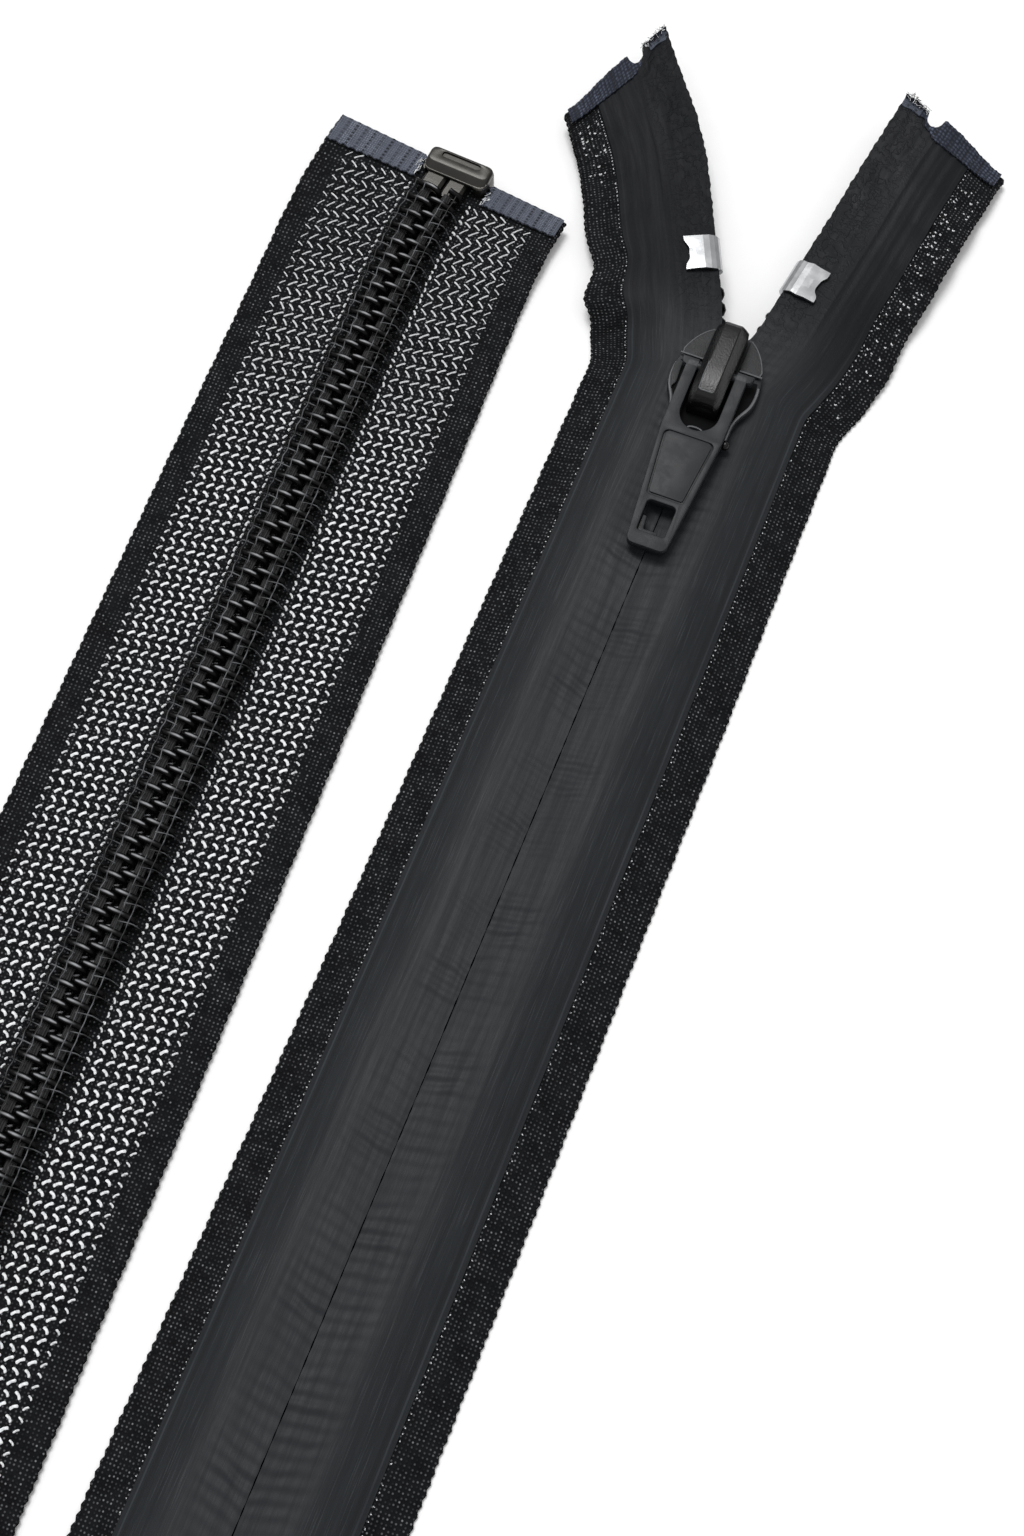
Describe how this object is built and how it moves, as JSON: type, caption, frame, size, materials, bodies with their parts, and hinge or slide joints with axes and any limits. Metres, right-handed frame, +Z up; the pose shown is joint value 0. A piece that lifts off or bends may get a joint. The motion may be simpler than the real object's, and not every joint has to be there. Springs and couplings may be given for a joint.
{
  "type": "separating coil zipper",
  "caption": "Open-end coil zipper with a water-repellent film face, locking slider and pull, folded back on itself in a loop with half a twist.",
  "frame": {"origin": "on the table, under the middle of the slider's lower plate", "axes": "+Y up the closed chain towards the top stops, +Z up out of the table, +X to the right of the slider"},
  "size_m": [0.1021, 0.3265, 0.0411],
  "materials": {
    "tape_fabric": "matt black woven polyester",
    "film_laminate": "matt charcoal laminate with fine ribs",
    "coil_nylon": "glossy black monofilament",
    "cord_fabric": "black cord",
    "thread_fabric": "grey sewing thread",
    "band_fabric": "slate blue ribbed tape",
    "box_metal": "warm gunmetal",
    "slider_paint": "satin black enamel",
    "cover_paint": "glossy black enamel",
    "lock_steel": "bare spring steel",
    "stop_metal": "bright aluminium"
  },
  "bodies": {
    "chain": {"left_tape": "tape_fabric", "left_film": "film_laminate", "left_coil_rail": "coil_nylon", "left_coil": "coil_nylon", "left_core_cord": "cord_fabric", "left_sewing_thread": "thread_fabric", "right_tape": "tape_fabric", "right_film": "film_laminate", "right_coil_rail": "coil_nylon", "right_coil": "coil_nylon", "right_core_cord": "cord_fabric", "right_sewing_thread": "thread_fabric", "left_end_band": "band_fabric", "right_end_band": "band_fabric", "retainer_pin": "box_metal", "insertion_pin": "box_metal", "retainer_box": "box_metal"},
    "left_flap": {"left_tape_top": "tape_fabric", "left_film_top": "film_laminate", "left_end_patch": "band_fabric", "left_coil_top": "coil_nylon", "left_top_stop": "stop_metal"},
    "right_flap": {"right_tape_top": "tape_fabric", "right_film_top": "film_laminate", "right_end_patch": "band_fabric", "right_coil_top": "coil_nylon", "right_top_stop": "stop_metal"},
    "slider": {"slider_body": "slider_paint", "slider_cover": "cover_paint", "lock_spring": "lock_steel"},
    "pawl": {"lock_pawl": "lock_steel"},
    "pull": {"pull_tab": "slider_paint"}
  },
  "joints": [
    {"name": "slider_travel", "type": "slide", "parent": "chain", "child": "slider", "axis": [0, -1, 0], "range_m": [0, 0.15], "deforming": ["left_tape_top", "left_film_top", "left_coil_top", "right_tape_top", "right_film_top", "right_coil_top"]},
    {"name": "pull_swing", "type": "hinge", "parent": "slider", "child": "pull", "pos_m": [0, 0.0014, 0.00902], "axis": [-1, 0, 0], "range_deg": [0, 172]},
    {"name": "pawl_lift", "type": "hinge", "parent": "slider", "child": "pawl", "pos_m": [0, 0.0074, 0.00802], "axis": [-1, 0, 0], "range_deg": [0, 3.1], "deforming": ["lock_spring"]},
    {"name": "left_flap_swing", "type": "hinge", "parent": "chain", "child": "left_flap", "pos_m": [0, -0.155, 0], "axis": [0, 0, 1], "range_deg": [0, 1.51]},
    {"name": "right_flap_swing", "type": "hinge", "parent": "chain", "child": "right_flap", "pos_m": [0, -0.155, 0], "axis": [0, 0, -1], "range_deg": [0, 12.05]}
  ],
  "couplings": [
    {"joint": "pawl_lift", "follows": "pull_swing", "ratio": 0.01744},
    {"joint": "left_flap_swing", "follows": "slider_travel", "rad_per_m": 0.17453},
    {"joint": "right_flap_swing", "follows": "slider_travel", "rad_per_m": 1.3963}
  ]
}
